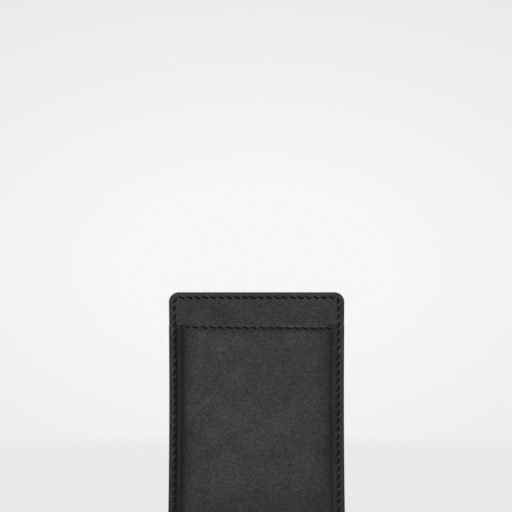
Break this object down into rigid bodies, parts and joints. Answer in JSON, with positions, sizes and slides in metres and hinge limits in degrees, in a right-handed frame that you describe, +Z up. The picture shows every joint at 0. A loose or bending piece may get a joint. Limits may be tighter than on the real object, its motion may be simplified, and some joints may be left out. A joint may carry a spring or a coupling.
{
  "type": "card holder",
  "caption": "Portrait leather card holder: a flat stitched back that carries one formed, open-topped card pocket, with a bare strip above the mouth",
  "frame": {"origin": "on the standing surface, under the middle of the bounding box", "axes": "+Z up the height, from the bottom edge to the bare strip; +X across the width, to the right of someone facing the pocket; -Y out of the pocket's front, +Y out of the back"},
  "size_m": [0.0698, 0.0094, 0.1],
  "materials": {
    "black_leather": "fine pebbled grain, satin",
    "facing_leather": "fine pebbled grain, satin",
    "lining_cloth": "plain weave, matt",
    "stiffening_board": "bonded leather fibre board, matt",
    "edge_paint": "rounded edge paint, satin",
    "waxed_thread": "waxed twisted thread"
  },
  "bodies": {
    "root": {"back_panel": "black_leather", "back_board": "stiffening_board", "inner_facing": "facing_leather", "pocket_front": "black_leather", "pocket_lining": "lining_cloth", "edge_coat": "edge_paint", "mouth_edge_coat": "edge_paint", "edge_seam_front": "waxed_thread", "edge_seam_back": "waxed_thread", "mouth_seam_front": "waxed_thread", "mouth_seam_reverse": "waxed_thread"}
  },
  "joints": []
}
